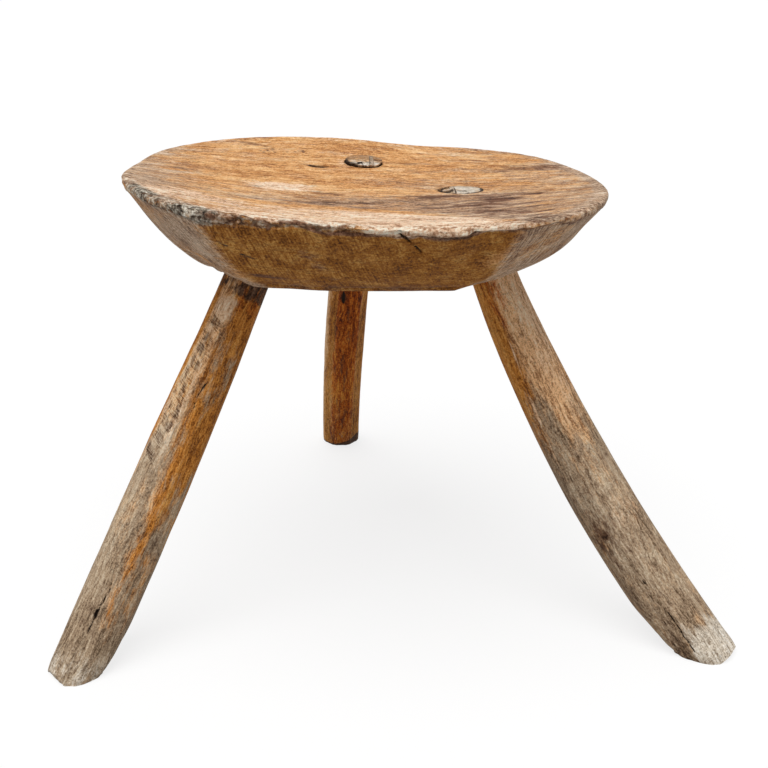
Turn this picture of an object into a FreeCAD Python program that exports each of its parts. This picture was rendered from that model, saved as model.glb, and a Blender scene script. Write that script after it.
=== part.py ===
import FreeCAD, Part
import math
import os
from dataclasses import dataclass

# Three-legged milking stool: a hewn, dished slab seat on three splayed poles.
# Each pole ends in a tapered tenon that goes right through the seat and is spread there by a wedge,
# driven into a kerf in the tenon's end across the seat's grain, which runs along X.
# Millimetres and degrees, +Z up, with the origin on the floor under the middle of the stool's box.

# Seat: a round slab with a level underside and a top that falls a little to one side
SEAT_AXIS_X = -23.4
SEAT_AXIS_Y = -73.6
SEAT_RADIUS = 177.0
SEAT_OVAL = 2.6  # the rim reaches this much further along OVAL_ANGLE, and less across it
OVAL_ANGLE = -35.0
SEAT_THICKNESS = 62.0
UNDERSIDE_HEIGHT = 284.0
TOP_FALL = 2.45
LOW_SIDE_ANGLE = 26.0

# Underside: smaller than the rim, longer along the grain, with five broad flats hewn up to the rim
UNDERSIDE_RADIUS = 124.0
UNDERSIDE_OVAL = 9.0
UNDERSIDE_SETBACK = 8.0  # its middle lies this far behind the rim's
FLAT_COUNT = 5
FLAT_DEPTH = 9.0
FIRST_CORNER_ANGLE = -130.0
FLANK_BULGE = 0.72  # 1 is a straight flank, less is a rounder one
BEVEL_HEIGHT = 4.0
BEVEL_WIDTH = 4.0

# Rim and dish
RIM_EDGE = 5.5  # height of the blunt edge between the flank and the top
RIM_CHAMFER = 2.0  # worn off the upper corner of that edge
RIM_LAND = 2.0  # flat left between the chamfer and the dish, where the rim is narrowest
DISH_DEPTH = 12.5

# Legs: hewn poles with eased arrises, set out round a centre behind the seat's axis
LEG_CENTRE_X = 3.5
LEG_CENTRE_Y = 40.0
HEAD_CIRCLE_RADIUS = 68.0
FOOT_CIRCLE_RADIUS = 278.0
POLE_MID_DIAMETER = 43.0
POLE_FOOT_DIAMETER = 43.6
POLE_FLATS = 8
ARRIS_SHARE = 0.3  # of the pole's outline that the eased arrises take up
TOE_BEVEL = 12.0  # worn off the outer edge of each foot

# Tenons, alike on the three legs
TENON_END_DIAMETER = 30.0
NECK_DIAMETER = 34.4  # where the tenon's taper starts
NECK_GAP = 3.0  # between the underside and the neck
FIT_CLEARANCE = 0.15  # between tenon and mortise

# Kerf in each tenon's end and the wedge in it
KERF_END_WIDTH = 3.4
KERF_ROOT_WIDTH = 1.0
KERF_DEPTH = 30.0
WEDGE_CLEARANCE = 0.1


@dataclass
class Leg:
    """One hand-made leg: where it stands round the legs' centre, and how it differs from its fellows."""

    name: str
    head_angle: float
    head_out: float  # further out than the head circle
    head_proud: float  # above the dish
    foot_angle: float
    foot_out: float  # further out than the foot circle
    bow: float  # how much steeper the tenon stands than the line from head to foot
    turn: float  # how far the tenon is turned about the upright from that line
    thicker: float  # than the pole's diameters
    kerf_offset: float  # along the grain, from the middle of the tenon


LEGS = (
    Leg("left", head_angle=206.0, head_out=1.3, head_proud=0.6, foot_angle=217.6, foot_out=-4.0,
        bow=0.9, turn=0.0, thicker=-0.2, kerf_offset=0.0),
    Leg("right", head_angle=-26.0, head_out=8.3, head_proud=1.0, foot_angle=-28.5, foot_out=11.0,
        bow=7.6, turn=1.0, thicker=2.8, kerf_offset=-5.5),
    Leg("rear", head_angle=95.3, head_out=-9.9, head_proud=3.5, foot_angle=97.7, foot_out=-9.9,
        bow=0.3, turn=3.6, thicker=-5.0, kerf_offset=6.0),
)

Vector = FreeCAD.Vector
UP = Vector(0, 0, 1)


def polar(radius, angle):
    """The point at a radius and an angle round the Z axis."""
    return Vector(radius * math.cos(math.radians(angle)), radius * math.sin(math.radians(angle)), 0)


SEAT_FOOT = Vector(SEAT_AXIS_X, SEAT_AXIS_Y, 0)  # on the floor, under the seat's axis
LEG_CENTRE = Vector(LEG_CENTRE_X, LEG_CENTRE_Y, 0)

# Frame of the top: its origin lies on the seat's axis in the plane of the rim
TOP = FreeCAD.Placement(
    SEAT_FOOT + UP * (UNDERSIDE_HEIGHT + SEAT_THICKNESS),
    FreeCAD.Rotation(polar(1, LOW_SIDE_ANGLE + 90), TOP_FALL),
)


def rim_point(angle, inset, drop):
    """A point of the rim's slightly oval outline, moved inwards and down from the plane of the rim."""
    radius = SEAT_RADIUS + SEAT_OVAL * math.cos(math.radians(2 * (angle - OVAL_ANGLE)))
    return TOP.multVec(polar(radius - inset, angle) - UP * drop)


def underside_point(angle, inset, rise):
    """A point of the underside's outline, hewn deepest halfway between corners, moved in and up."""
    half = 180 / FLAT_COUNT
    from_middle = (angle - FIRST_CORNER_ANGLE) % (2 * half) - half
    corner = math.cos(math.radians(half))
    depth = FLAT_DEPTH * (1 - corner / math.cos(math.radians(from_middle))) / (1 - corner)
    radius = UNDERSIDE_RADIUS + UNDERSIDE_OVAL * math.cos(math.radians(2 * angle)) - depth
    return SEAT_FOOT + polar(radius - inset, angle) + Vector(0, UNDERSIDE_SETBACK, UNDERSIDE_HEIGHT + rise)


def flank_point(angle, share):
    """A point at a share of the way up the flank, from the bevel to the rim's edge: out first, then up."""
    low = underside_point(angle, 0, BEVEL_HEIGHT)
    high = rim_point(angle, 0, RIM_EDGE)
    point = low + (high - low) * share**FLANK_BULGE
    point.z = low.z + (high.z - low.z) * share
    return point


def outline(point_at):
    """A smooth closed outline through points at even angles, some of them in every flat's corners."""
    count = 6 * FLAT_COUNT
    curve = Part.BSplineCurve()
    curve.interpolate(
        Points=[point_at(FIRST_CORNER_ANGLE + 360 * step / count) for step in range(count)],
        PeriodicFlag=True,
        Parameters=[step / count for step in range(count + 1)],
    )
    return Part.Wire(curve.toShape())


def dish_curve_radius():
    """The radius of the sphere that the dish is hollowed to."""
    half_width = SEAT_RADIUS - SEAT_OVAL - RIM_CHAMFER - RIM_LAND
    return (half_width**2 + DISH_DEPTH**2) / (2 * DISH_DEPTH)


def dish_level(radius):
    """The level of the dish, from the plane of the rim, at a radius from the seat's axis."""
    curve = dish_curve_radius()
    return curve - DISH_DEPTH - math.sqrt(curve**2 - radius**2)


def make_dish():
    """The sphere that hollows the top, laid on its side so that its poles stay clear of the seat."""
    curve = dish_curve_radius()
    return Part.makeSphere(curve, TOP.multVec(UP * (curve - DISH_DEPTH)), Vector(1, 0, 0))


def make_seat():
    """The hewn slab, dished and bored for the tenons."""
    bevel = outline(lambda angle: underside_point(angle, BEVEL_WIDTH, 0))
    flank = [outline(lambda angle: flank_point(angle, share)) for share in (0, 0.06, 0.2, 0.4, 0.7, 1)]
    edge = outline(lambda angle: rim_point(angle, 0, RIM_CHAMFER))
    top = outline(lambda angle: rim_point(angle, RIM_CHAMFER, 0))
    bands = ([bevel, flank[0]], [flank[-1], edge, top])
    slab = Part.makeLoft(flank, True).fuse([Part.makeLoft(band, True, True) for band in bands])
    seat = slab.removeSplitter().cut(make_dish())
    for leg in LEGS:
        seat = seat.cut(tenon_cone(leg, FIT_CLEARANCE))
    return seat


def head_point(leg):
    """The middle of the tenon's end, as proud of the dish as it stands."""
    point = LEG_CENTRE + polar(HEAD_CIRCLE_RADIUS + leg.head_out, leg.head_angle)
    return TOP.multVec(point + UP * (dish_level(point.Length) + leg.head_proud))


def foot_point(leg):
    """The middle of the foot, on the floor."""
    return SEAT_FOOT + LEG_CENTRE + polar(FOOT_CIRCLE_RADIUS + leg.foot_out, leg.foot_angle)


def tenon_way(leg):
    """The direction of the tenon, down and outwards."""
    line = foot_point(leg) - head_point(leg)
    bearing = math.degrees(math.atan2(line.y, line.x)) + leg.turn
    lean = math.degrees(math.atan2(math.hypot(line.x, line.y), -line.z)) - leg.bow
    return polar(math.sin(math.radians(lean)), bearing) - UP * math.cos(math.radians(lean))


def neck_point(leg):
    """The middle of the neck, low enough for all of its outline to clear the underside."""
    head = head_point(leg)
    way = tenon_way(leg)
    level = UNDERSIDE_HEIGHT - NECK_GAP - NECK_DIAMETER / 2 * math.hypot(way.x, way.y)
    return head + way * ((head.z - level) / -way.z)


def tenon_cone(leg, clearance):
    """The tapered tenon, from the neck to well past the seat's top, thicker by a clearance all round."""
    neck = neck_point(leg)
    axis = head_point(leg) - neck
    taper = (NECK_DIAMETER - TENON_END_DIAMETER) / 2 / axis.Length
    length = axis.Length + TENON_END_DIAMETER
    neck_radius = NECK_DIAMETER / 2 + clearance
    return Part.makeCone(neck_radius, neck_radius - taper * length, length, neck, axis)


def half_space(point, normal, reach):
    """A slab of that reach on one side of a plane."""
    slab = Part.makeBox(2 * reach, 2 * reach, reach, Vector(-reach, -reach, 0))
    slab.Placement = FreeCAD.Placement(point, FreeCAD.Rotation(UP, normal))
    return slab


def pole_radius(leg, share):
    """The radius at a share of the way from neck to foot, on a parabola through neck, middle and foot."""
    neck = NECK_DIAMETER / 2
    middle = (POLE_MID_DIAMETER + leg.thicker) / 2
    foot = (POLE_FOOT_DIAMETER + leg.thicker) / 2
    rest = 1 - share
    return neck * rest * (rest - share) + middle * 4 * share * rest + foot * share * (share - rest)


def pole_outline(centre, way, radius, hewn):
    """An outline square to the pole, of flats and narrow eased arrises if hewn and otherwise of arcs."""
    across = way.cross(UP).normalize()
    over = across.cross(way)
    flat = 360 / POLE_FLATS
    turns = []
    for step in range(POLE_FLATS):
        turns += [flat * (step - (1 - ARRIS_SHARE) / 2), flat * (step + (1 - ARRIS_SHARE) / 2)]
    turns.append(turns[0] + 360)

    def at(angle):
        spoke = polar(radius, angle)
        return centre + across * spoke.x + over * spoke.y

    edges = []
    for start, end in zip(turns, turns[1:]):
        if hewn:
            edge = Part.LineSegment(at(start), at(end))
        else:
            edge = Part.Arc(at(start), at((start + end) / 2), at(end))
        edges.append(edge.toShape())
    return Part.Wire(edges)


def make_pole(leg):
    """The hewn pole: it leaves the neck in line with the tenon, bends to the foot and is cut at the floor."""
    neck = neck_point(leg)
    foot = foot_point(leg)
    bend = neck + tenon_way(leg) * ((foot - neck).Length / 2)
    outlines = [pole_outline(neck, tenon_way(leg), NECK_DIAMETER / 2, False)]
    for share in (0.15, 0.4, 0.7, 1):
        rest = 1 - share
        centre = neck * rest**2 + bend * (2 * share * rest) + foot * share**2
        way = ((bend - neck) * rest + (foot - bend) * share).normalize()
        outlines.append(pole_outline(centre, way, pole_radius(leg, share), True))
    radius = pole_radius(leg, 1)
    outlines.append(pole_outline(foot + way * (2 * radius), way, radius, True))
    out = Vector(way.x, way.y, 0).normalize()
    toe = foot + out * (radius / -way.z - TOE_BEVEL)
    cuts = [half_space(foot, UP * -1, 8 * radius), half_space(toe, out - UP, 8 * radius)]
    return Part.makeLoft(outlines, True).cut(cuts)


def make_kerf(leg, clearance):
    """The tapered slot in the tenon's end, square to the grain and wider by a clearance on each side."""
    head = head_point(leg)
    way = tenon_way(leg)
    side = (Vector(1, 0, 0) - way * way.x).normalize()
    along = way.cross(side) * NECK_DIAMETER
    half_taper = (KERF_END_WIDTH - KERF_ROOT_WIDTH) / 2 / KERF_DEPTH
    root = head + side * leg.kerf_offset + way * (KERF_DEPTH + clearance) - along / 2
    height = KERF_DEPTH + TENON_END_DIAMETER
    root_half = side * (KERF_ROOT_WIDTH / 2 + clearance)
    end_half = root_half + side * (half_taper * height)
    end = root - way * height
    corners = [root - root_half, root + root_half, end + end_half, end - end_half, root - root_half]
    return Part.Face(Part.makePolygon(corners)).extrude(along)


def make_leg(leg):
    """One leg in one piece, from its sawn foot to its sawn and kerfed tenon, and the wedge in the kerf."""
    head = head_point(leg)
    above = half_space(head, TOP.Rotation.multVec(UP), 2 * TENON_END_DIAMETER)
    tenon = tenon_cone(leg, 0).cut(above)
    wedge = tenon.common(make_kerf(leg, 0))
    pole = tenon.cut(make_kerf(leg, WEDGE_CLEARANCE)).fuse(make_pole(leg))
    return pole.removeSplitter(), wedge


os.makedirs("parts", exist_ok=True)
make_seat().exportStep("parts/seat.step")
for leg in LEGS:
    pole, wedge = make_leg(leg)
    pole.exportStep(f"parts/leg_{leg.name}.step")
    wedge.exportStep(f"parts/wedge_{leg.name}.step")
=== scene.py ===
import bpy
import numpy as np
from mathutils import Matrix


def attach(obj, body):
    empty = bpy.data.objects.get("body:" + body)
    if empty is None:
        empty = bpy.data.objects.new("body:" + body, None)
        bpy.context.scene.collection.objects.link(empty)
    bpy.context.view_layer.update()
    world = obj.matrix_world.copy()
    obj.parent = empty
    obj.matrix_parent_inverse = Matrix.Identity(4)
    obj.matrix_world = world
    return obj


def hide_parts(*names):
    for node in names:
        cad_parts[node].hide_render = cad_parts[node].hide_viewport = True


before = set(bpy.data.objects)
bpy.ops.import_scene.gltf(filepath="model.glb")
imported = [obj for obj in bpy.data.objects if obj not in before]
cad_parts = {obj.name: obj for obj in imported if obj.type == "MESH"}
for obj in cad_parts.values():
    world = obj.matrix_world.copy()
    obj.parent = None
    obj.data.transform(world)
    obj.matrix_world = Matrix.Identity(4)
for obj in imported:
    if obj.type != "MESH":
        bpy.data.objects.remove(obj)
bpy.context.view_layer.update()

# Seat: one thick round board with its grain along X, hewn with an axe from the rim down to a smaller,
# five-sided underside and hollowed on top with an adze. Its lip has worn pale and crumbles, and each
# leg's tenon comes up through a hand-bored hole. Lengths are in millimetres until a mesh is made.
SEAT_FOOT = np.array([-23.4, -73.6, 0.0])
RIM_RADIUS, RIM_OVAL, OVAL_ANGLE = 177.0, 2.6, -35.0
RIM_HEIGHT, TOP_FALL, LOW_SIDE_ANGLE = 346.0, 2.45, 26.0
CREST_INSET, DISH_DEPTH = 4.0, 12.5
LIP_HEIGHT, LIP_TUCK = 5.0, 1.8
UNDERSIDE_HEIGHT, UNDERSIDE_RADIUS, UNDERSIDE_OVAL, UNDERSIDE_SETBACK = 284.0, 124.0, 9.0, 8.0
FLAT_COUNT, FLAT_DEPTH, FIRST_CORNER_ANGLE, FLANK_BULGE = 5, 9.0, -130.0, 0.66
BEVEL = 4.0
UP = np.array([0.0, 0.0, 1.0])


def polar(radius, angle):
    """The point at a radius and an angle, in degrees, round the Z axis."""
    turn = np.radians(angle)
    return np.stack(np.broadcast_arrays(radius * np.cos(turn), radius * np.sin(turn), 0.0 * turn), -1)


def turned(axis, angle):
    """The matrix of a turn about an axis: 1 + sin a times the cross matrix + (1 - cos a) times its square."""
    x, y, z = axis
    cross = np.array([[0, -z, y], [z, 0, -x], [-y, x, 0]])
    return np.eye(3) + np.sin(np.radians(angle)) * cross + (1 - np.cos(np.radians(angle))) * cross @ cross


TOP_AXES = turned(polar(1.0, LOW_SIDE_ANGLE + 90), TOP_FALL)
TOP_MIDDLE = SEAT_FOOT + UP * RIM_HEIGHT


def from_top(points):
    """Points given in the tilted plane of the rim, in the stool's frame."""
    return TOP_MIDDLE + points @ TOP_AXES.T


def to_top(points):
    """Points of the stool's frame, in the tilted plane of the rim."""
    return (points - TOP_MIDDLE) @ TOP_AXES


def wave(times, angle, crest):
    """A cosine that has so many crests round the seat, one of them at that angle."""
    return np.cos(np.radians(times * (angle - crest)))


def ease(low, high, value):
    """Smooth step: 0 at low, 1 at high and 3s^2 - 2s^3 between, where s is the share of the way."""
    share = np.clip((value - low) / (high - low), 0, 1)
    return share * share * (3 - 2 * share)


def bell(value, middle, width):
    """A hump of height 1: e to the minus square of the distance from the middle, counted in widths."""
    return np.exp(-(((value - middle) / width) ** 2))


def round_bell(angle, middle, width):
    """The same hump on an angle in degrees, which may pass 180."""
    return bell((angle - middle + 180) % 360 - 180, 0, width)


def near_line(place, start, end, width):
    """How near places on a flat map lie to a line between two of them: a bell that narrows at both ends."""
    start, end = np.array(start, float), np.array(end, float)
    part = np.clip((place - start) @ (end - start) / ((end - start) ** 2).sum(), 0, 1)
    gap = np.linalg.norm(place - start - part[:, None] * (end - start), axis=1)
    return bell(gap, 0, width * (0.3 + 2.8 * part * (1 - part)))


def lattice_value(cell, seed):
    """A random number from -1 to 1 for each cell: its whole numbers are multiplied, added and bit-mixed."""
    key = (cell * np.array([73856093, 19349663, 83492791])).sum(-1) + seed * 40503
    key = ((key ^ (key >> 15)) * 2246822519) & 0xFFFFFFFF
    key = ((key ^ (key >> 13)) * 3266489917) & 0xFFFFFFFF
    return (key ^ (key >> 16)) / 2147483647.5 - 1


def lumps(points, size, seed, octaves=3):
    """Random lumps from -1 to 1, of that size along each axis: lattice values blended by a fifth-power
    step along X, Y and Z, added up over octaves that are each half as large and half as high."""
    total = 0.0
    for octave in range(octaves):
        place = points / size * 2**octave
        cell = np.floor(place).astype(np.int64)
        part = place - cell
        part = part**3 * (part * (part * 6 - 15) + 10)
        for corner in np.ndindex(2, 2, 2):
            weight = np.where(corner, part, 1 - part).prod(-1)
            total = total + 0.5**octave * weight * lattice_value(cell + corner, seed + 7 * octave)
    return total / (2 - 0.5 ** (octaves - 1))


def shaken(points, size, seed):
    """Three independent sets of lumps, as a displacement."""
    return np.stack([lumps(points, size, seed + 101 * axis, 2) for axis in range(3)], -1)


def rim_radius(angle):
    """The rim's outline: a circle with a two-fold oval, trimmed a little behind the left end."""
    return RIM_RADIUS + RIM_OVAL * wave(2, angle, OVAL_ANGLE) - 3.0 * round_bell(angle, 172, 12)


def humps(angle, places):
    """Humps round the seat added up, each given by the angle of its middle, its width and its height."""
    return sum(height * round_bell(angle, middle, width) for middle, width, height in places)


def rim_rise(angle):
    """How far the rim stands above its plane: a few gentle humps and dips."""
    rises = (128, 26, 2.0), (36, 16, 1.8), (-98, 18, 1.0), (-22, 12, 1.2)
    dips = (77, 15, -2.8), (174, 12, -2.0)
    return humps(angle, rises + dips)


def lip_height(angle):
    """The height of the blunt lip, which is ragged all along and tallest in three places at the front."""
    ragged = (1.7 + 1.5 * round_bell(angle, -80, 40)) * lumps(polar(RIM_RADIUS, angle), 21, 35)
    return LIP_HEIGHT + humps(angle, ((-123, 10, 3.0), (-138, 14, 1.2), (-74, 9, 1.3))) + ragged


def dish_level(radius):
    """The level of the dish from the plane of the rim, at a radius from the seat's axis: a parabola."""
    return DISH_DEPTH * ((radius / (RIM_RADIUS - RIM_OVAL - CREST_INSET)) ** 2 - 1)


def worn_brink(angle):
    """How far the crest is worn down along the front."""
    return 1.3 * round_bell(angle, -90, 55)


def top_place(share, angle):
    """A point of the hollowed top, at a share of the way from the axis to the crest."""
    level = DISH_DEPTH * (share**2 - 1) + rim_rise(angle) * share**3
    level = level - worn_brink(angle) * ease(0.9, 1.0, share) ** 2
    return from_top(polar((rim_radius(angle) - CREST_INSET) * share, angle) + UP * level[..., None])


def lip_place(angle, inset, drop):
    """A point of the lip, moved in from the rim's outline and down from its crest."""
    level = rim_rise(angle) - worn_brink(angle) * (1 - np.clip(drop / 4, 0, 1))
    return from_top(polar(rim_radius(angle) - inset, angle) + UP * (level - drop)[..., None])


def from_corner(angle):
    """The angle from the nearest corner of the five-sided underside."""
    half = 180 / FLAT_COUNT
    return (angle - FIRST_CORNER_ANGLE + half) % (2 * half) - half


def underside_place(angle, inset, rise):
    """A point of the five-sided underside: the flats' depth goes as 1 - cos 36 / cos of the angle from
    the flat's middle, so that the flats are straight."""
    half = 180 / FLAT_COUNT
    corner = np.cos(np.radians(half))
    depth = FLAT_DEPTH * (1 - corner / np.cos(np.radians(half - np.abs(from_corner(angle))))) / (1 - corner)
    radius = UNDERSIDE_RADIUS + UNDERSIDE_OVAL * wave(2, angle, 0) - depth
    return SEAT_FOOT + polar(radius - inset, angle) + [0, UNDERSIDE_SETBACK, UNDERSIDE_HEIGHT + rise]


def seat_skin(cells, lip_rows, flank_rows, sole_rows):
    """The seat's points and faces. The top is a square grid drawn out to a disc, where squares round the
    middle become circles. The rows under it go round the lip, whose section is a line through six knots, down
    the flank, over a bevel and in to the middle of the underside."""
    a, b = np.meshgrid(np.linspace(-1, 1, cells + 1), np.linspace(-1, 1, cells + 1), indexing="ij")
    sideways = np.abs(a) > np.abs(b)
    longer = np.where(sideways, a, b)
    ratio = np.where(sideways, b, a) / np.where(longer == 0, 1, longer)
    turn = np.where(sideways, 45 * ratio, 90 - 45 * ratio) + np.where(longer < 0, 180, 0)
    top = top_place(np.abs(longer), turn).reshape(-1, 3)

    angle = -45 + 90 * np.arange(4 * cells) / cells
    knots, along = [0, 0.25, 0.45, 0.8, 0.92, 1], np.linspace(0, 1, lip_rows + 1)[1:]
    inset = np.interp(along, knots, [CREST_INSET, 1.5, 0.2, 0.1, 0.7, LIP_TUCK])
    drop = np.interp(along, knots, [0.0, 0.1, 0.35, 0.85, 1.0, 1.12])
    rows = [lip_place(angle, i, d * lip_height(angle)) for i, d in zip(inset, drop)]
    low = underside_place(angle, 0, BEVEL)
    high = rows[-1]
    for share in np.linspace(1, 0, flank_rows + 1)[1:, None]:
        row = low + (high - low) * share**FLANK_BULGE
        row[:, 2] = low[:, 2] + (high[:, 2] - low[:, 2]) * share[0]
        rows.append(row)
    rows += [underside_place(angle, BEVEL * s**2, BEVEL * (1 - s)) for s in (0.35, 0.7, 1.0)]
    middle = SEAT_FOOT + [0, UNDERSIDE_SETBACK, UNDERSIDE_HEIGHT]
    rows += [middle + (rows[-1] - middle) * share for share in np.linspace(1, 0, sole_rows + 2)[1:-1]]

    number = np.arange(len(top)).reshape(a.shape)
    border = np.concatenate([number[-1, :-1], number[:0:-1, -1], number[0, :0:-1], number[:-1, 0]])
    rings = np.vstack([border, len(top) + np.arange(len(rows) * len(angle)).reshape(len(rows), -1)])
    squares = [number[:-1, :-1], number[1:, :-1], number[1:, 1:], number[:-1, 1:]]
    faces = np.stack(squares, -1).reshape(-1, 4).tolist()
    points = np.vstack([top, *rows, middle])
    return points, faces + ring_faces(rings) + fan_faces(rings[-1], len(points) - 1)


def ring_faces(rings):
    """Quads between closed rows of point numbers, which run anticlockwise and come from the top down."""
    upper, lower = rings[:-1], rings[1:]
    quads = [upper, lower, np.roll(lower, -1, 1), np.roll(upper, -1, 1)]
    return np.stack(quads, -1).reshape(-1, 4).tolist()


def fan_faces(ring, pole):
    """Triangles from a closed row of point numbers to one point under it."""
    return np.stack([ring, np.full_like(ring, pole), np.roll(ring, -1)], -1).tolist()


def flank_map(angle, drop):
    """A flat map of the flank: millimetres round the rim, and below it."""
    return np.stack(np.broadcast_arrays(np.radians(angle) * RIM_RADIUS, drop), -1)


class SeatZones:
    """Where points lie on the seat: in the plane of the rim, round it, in from it and below it, with the
    slit in the top, the crack in the flank and the bites under the lip."""

    def __init__(self, points):
        self.local = to_top(points)
        self.x, self.y = self.local[:, 0], self.local[:, 1]
        self.angle = np.degrees(np.arctan2(self.y, self.x))
        radius = np.hypot(self.x, self.y)
        self.inset = rim_radius(self.angle) - radius
        self.drop = rim_rise(self.angle) * np.clip(1 - self.inset / RIM_RADIUS, 0, 1) ** 3 - self.local[:, 2]
        self.lip = self.drop / lip_height(self.angle)
        self.sunk = -self.drop - dish_level(radius)
        self.top = (self.sunk > -3).astype(float)
        self.under = 1 - self.top
        self.edge = ease(13, 4, self.inset) * ease(1.6, 0.9, self.lip)
        self.flank = self.under * ease(1.0, 1.3, self.lip)
        right_end = np.interp(self.drop, [0, 30, 65], [-53, -51, -43])
        self.front = ease(-130, -122, self.angle) * ease(0, -6, self.angle - right_end)
        self.map = flank_map(self.angle, self.drop)
        curved = self.y * (1 + 0.7 * (self.x / RIM_RADIUS) ** 2)
        self.grain = np.stack([self.x, curved, self.local[:, 2]], -1)
        stroke = np.where(self.front > 0.5, self.x - 0.39 * self.drop, self.map[:, 0] - 0.3 * self.drop)
        self.tool = np.stack([1.6 * self.drop, stroke, 0 * stroke], -1)
        self.slit = bell(self.x, -39, 8.5) * bell(self.y, 81 + 0.02 * (self.x + 39) ** 2, 3.6) * self.top
        first = near_line(self.map, flank_map(-82, 5), flank_map(-79.2, 11.5), 0.8)
        self.crack = first + near_line(self.map, flank_map(-78.6, 13), flank_map(-76, 20), 0.8)
        self.crack = self.crack * self.under
        notches = ((-117, 2.0), (-112.5, 1.6), (-108, 1.8), (-104, 1.5),
                   (-99.5, 1.8), (-95.5, 1.2), (-82, 0.8), (-66, 1.3))
        self.notch = sum(round_bell(self.angle, at, width) for at, width in notches)
        self.bite = self.notch * ease(-0.1, 0.3, self.lip) * ease(1.5, 1.1, self.lip) * self.edge


def roughened_seat(points):
    """The seat as hewn and worn: lumps move the points, and tool marks, cracks and chips push them in."""
    zone = SeatZones(points)
    inward = -polar(1.0, zone.angle)
    moved = points + shaken(points, 46, 11) * (0.7 * zone.under)[:, None]
    ripples = 0.6 * lumps(zone.grain, (75, 26, 60), 21) + 0.22 * lumps(zone.grain, (24, 5, 30), 22, 3)
    moved += UP * ((ripples * ease(1, 14, zone.inset) - 2.4 * zone.slit) * zone.top)[:, None]
    hewing = 0.7 * lumps(points, (34, 34, 44), 23) + 0.3 * lumps(zone.tool, (60, 9, 1), 24, 3)
    crease = np.clip(1 - np.abs(from_corner(zone.angle - 3)) / 8, 0, 1) * ease(1.0, 2.5, zone.lip)
    moved += inward * ((hewing - 1.7 * crease) * zone.flank + 2.2 * zone.crack)[:, None]
    crumbs = shaken(points, 11, 31) * 1.3 + shaken(points, 4.6, 32) * 1.0
    patchy = 0.68 * ease(-0.5, 0.3, lumps(points, 30, 34))
    crumbly = 0.12 + 0.2 * round_bell(zone.angle, -100, 75) + patchy * round_bell(zone.angle, -92, 46)
    moved += crumbs * (zone.edge * crumbly)[:, None]
    chips = ease(0.0, 0.5, lumps(points, (18, 18, 8), 33)) * 2.4 * zone.edge * ease(0.4, 0.9, zone.lip)
    moved += inward * (chips * round_bell(zone.angle, -92, 50) + 3.2 * zone.bite)[:, None]
    torn = ease(40, 47, zone.drop) * zone.flank * ease(-157, -152, zone.angle) * ease(-137, -141, zone.angle)
    full = round_bell(zone.angle, -24, 19) * ease(18, 42, zone.drop) * ease(72, 60, zone.drop) * zone.flank
    return moved + (inward + UP) * 2.2 * torn[:, None] - inward * 4.6 * full[:, None]


def solid(name, points, faces):
    """An object from points in millimetres and faces."""
    mesh = bpy.data.meshes.new(name)
    mesh.from_pydata((points * 0.001).tolist(), [], faces)
    mesh.update()
    made = bpy.data.objects.new(name, mesh)
    bpy.context.scene.collection.objects.link(made)
    return made


def cut_out(piece, cutters):
    """Cuts the cutters' volumes out of a piece, and deletes them. All are made triangles first, so that a cut
    leaves no slivers."""
    piece.modifiers.new("facets", "TRIANGULATE")
    for cutter in cutters:
        cutter.modifiers.new("facets", "TRIANGULATE")
        cut = piece.modifiers.new("cut", "BOOLEAN")
        cut.operation = "DIFFERENCE"
        cut.solver = "EXACT"
        cut.object = cutter
    whole = piece.evaluated_get(bpy.context.evaluated_depsgraph_get())
    finished = bpy.data.meshes.new_from_object(whole)
    piece.modifiers.clear()
    piece.data = finished
    for cutter in cutters:
        bpy.data.objects.remove(cutter)


def places(piece):
    """The piece's points, in millimetres."""
    flat = np.empty(3 * len(piece.data.vertices), np.float32)
    piece.data.vertices.foreach_get("co", flat)
    return flat.reshape(-1, 3).astype(float) * 1000


def marked(piece, grain, tool, marks):
    """Gives each point its place along the grain and along the tool marks, in millimetres, and the marks
    that its finish follows."""
    mesh = piece.data
    for name, vectors in {"grain": grain, "tool": tool}.items():
        flat = vectors.astype(np.float32).ravel()
        mesh.attributes.new(name, "FLOAT_VECTOR", "POINT").data.foreach_set("vector", flat)
    for name, values in marks.items():
        values = np.clip(np.broadcast_to(values, len(grain)), 0, 1)
        mesh.attributes.new(name, "FLOAT", "POINT").data.foreach_set("value", values.astype(np.float32))
    mesh.polygons.foreach_set("use_smooth", np.ones(len(mesh.polygons), bool))
    mesh.set_sharp_from_angle(angle=np.radians(50))


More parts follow.
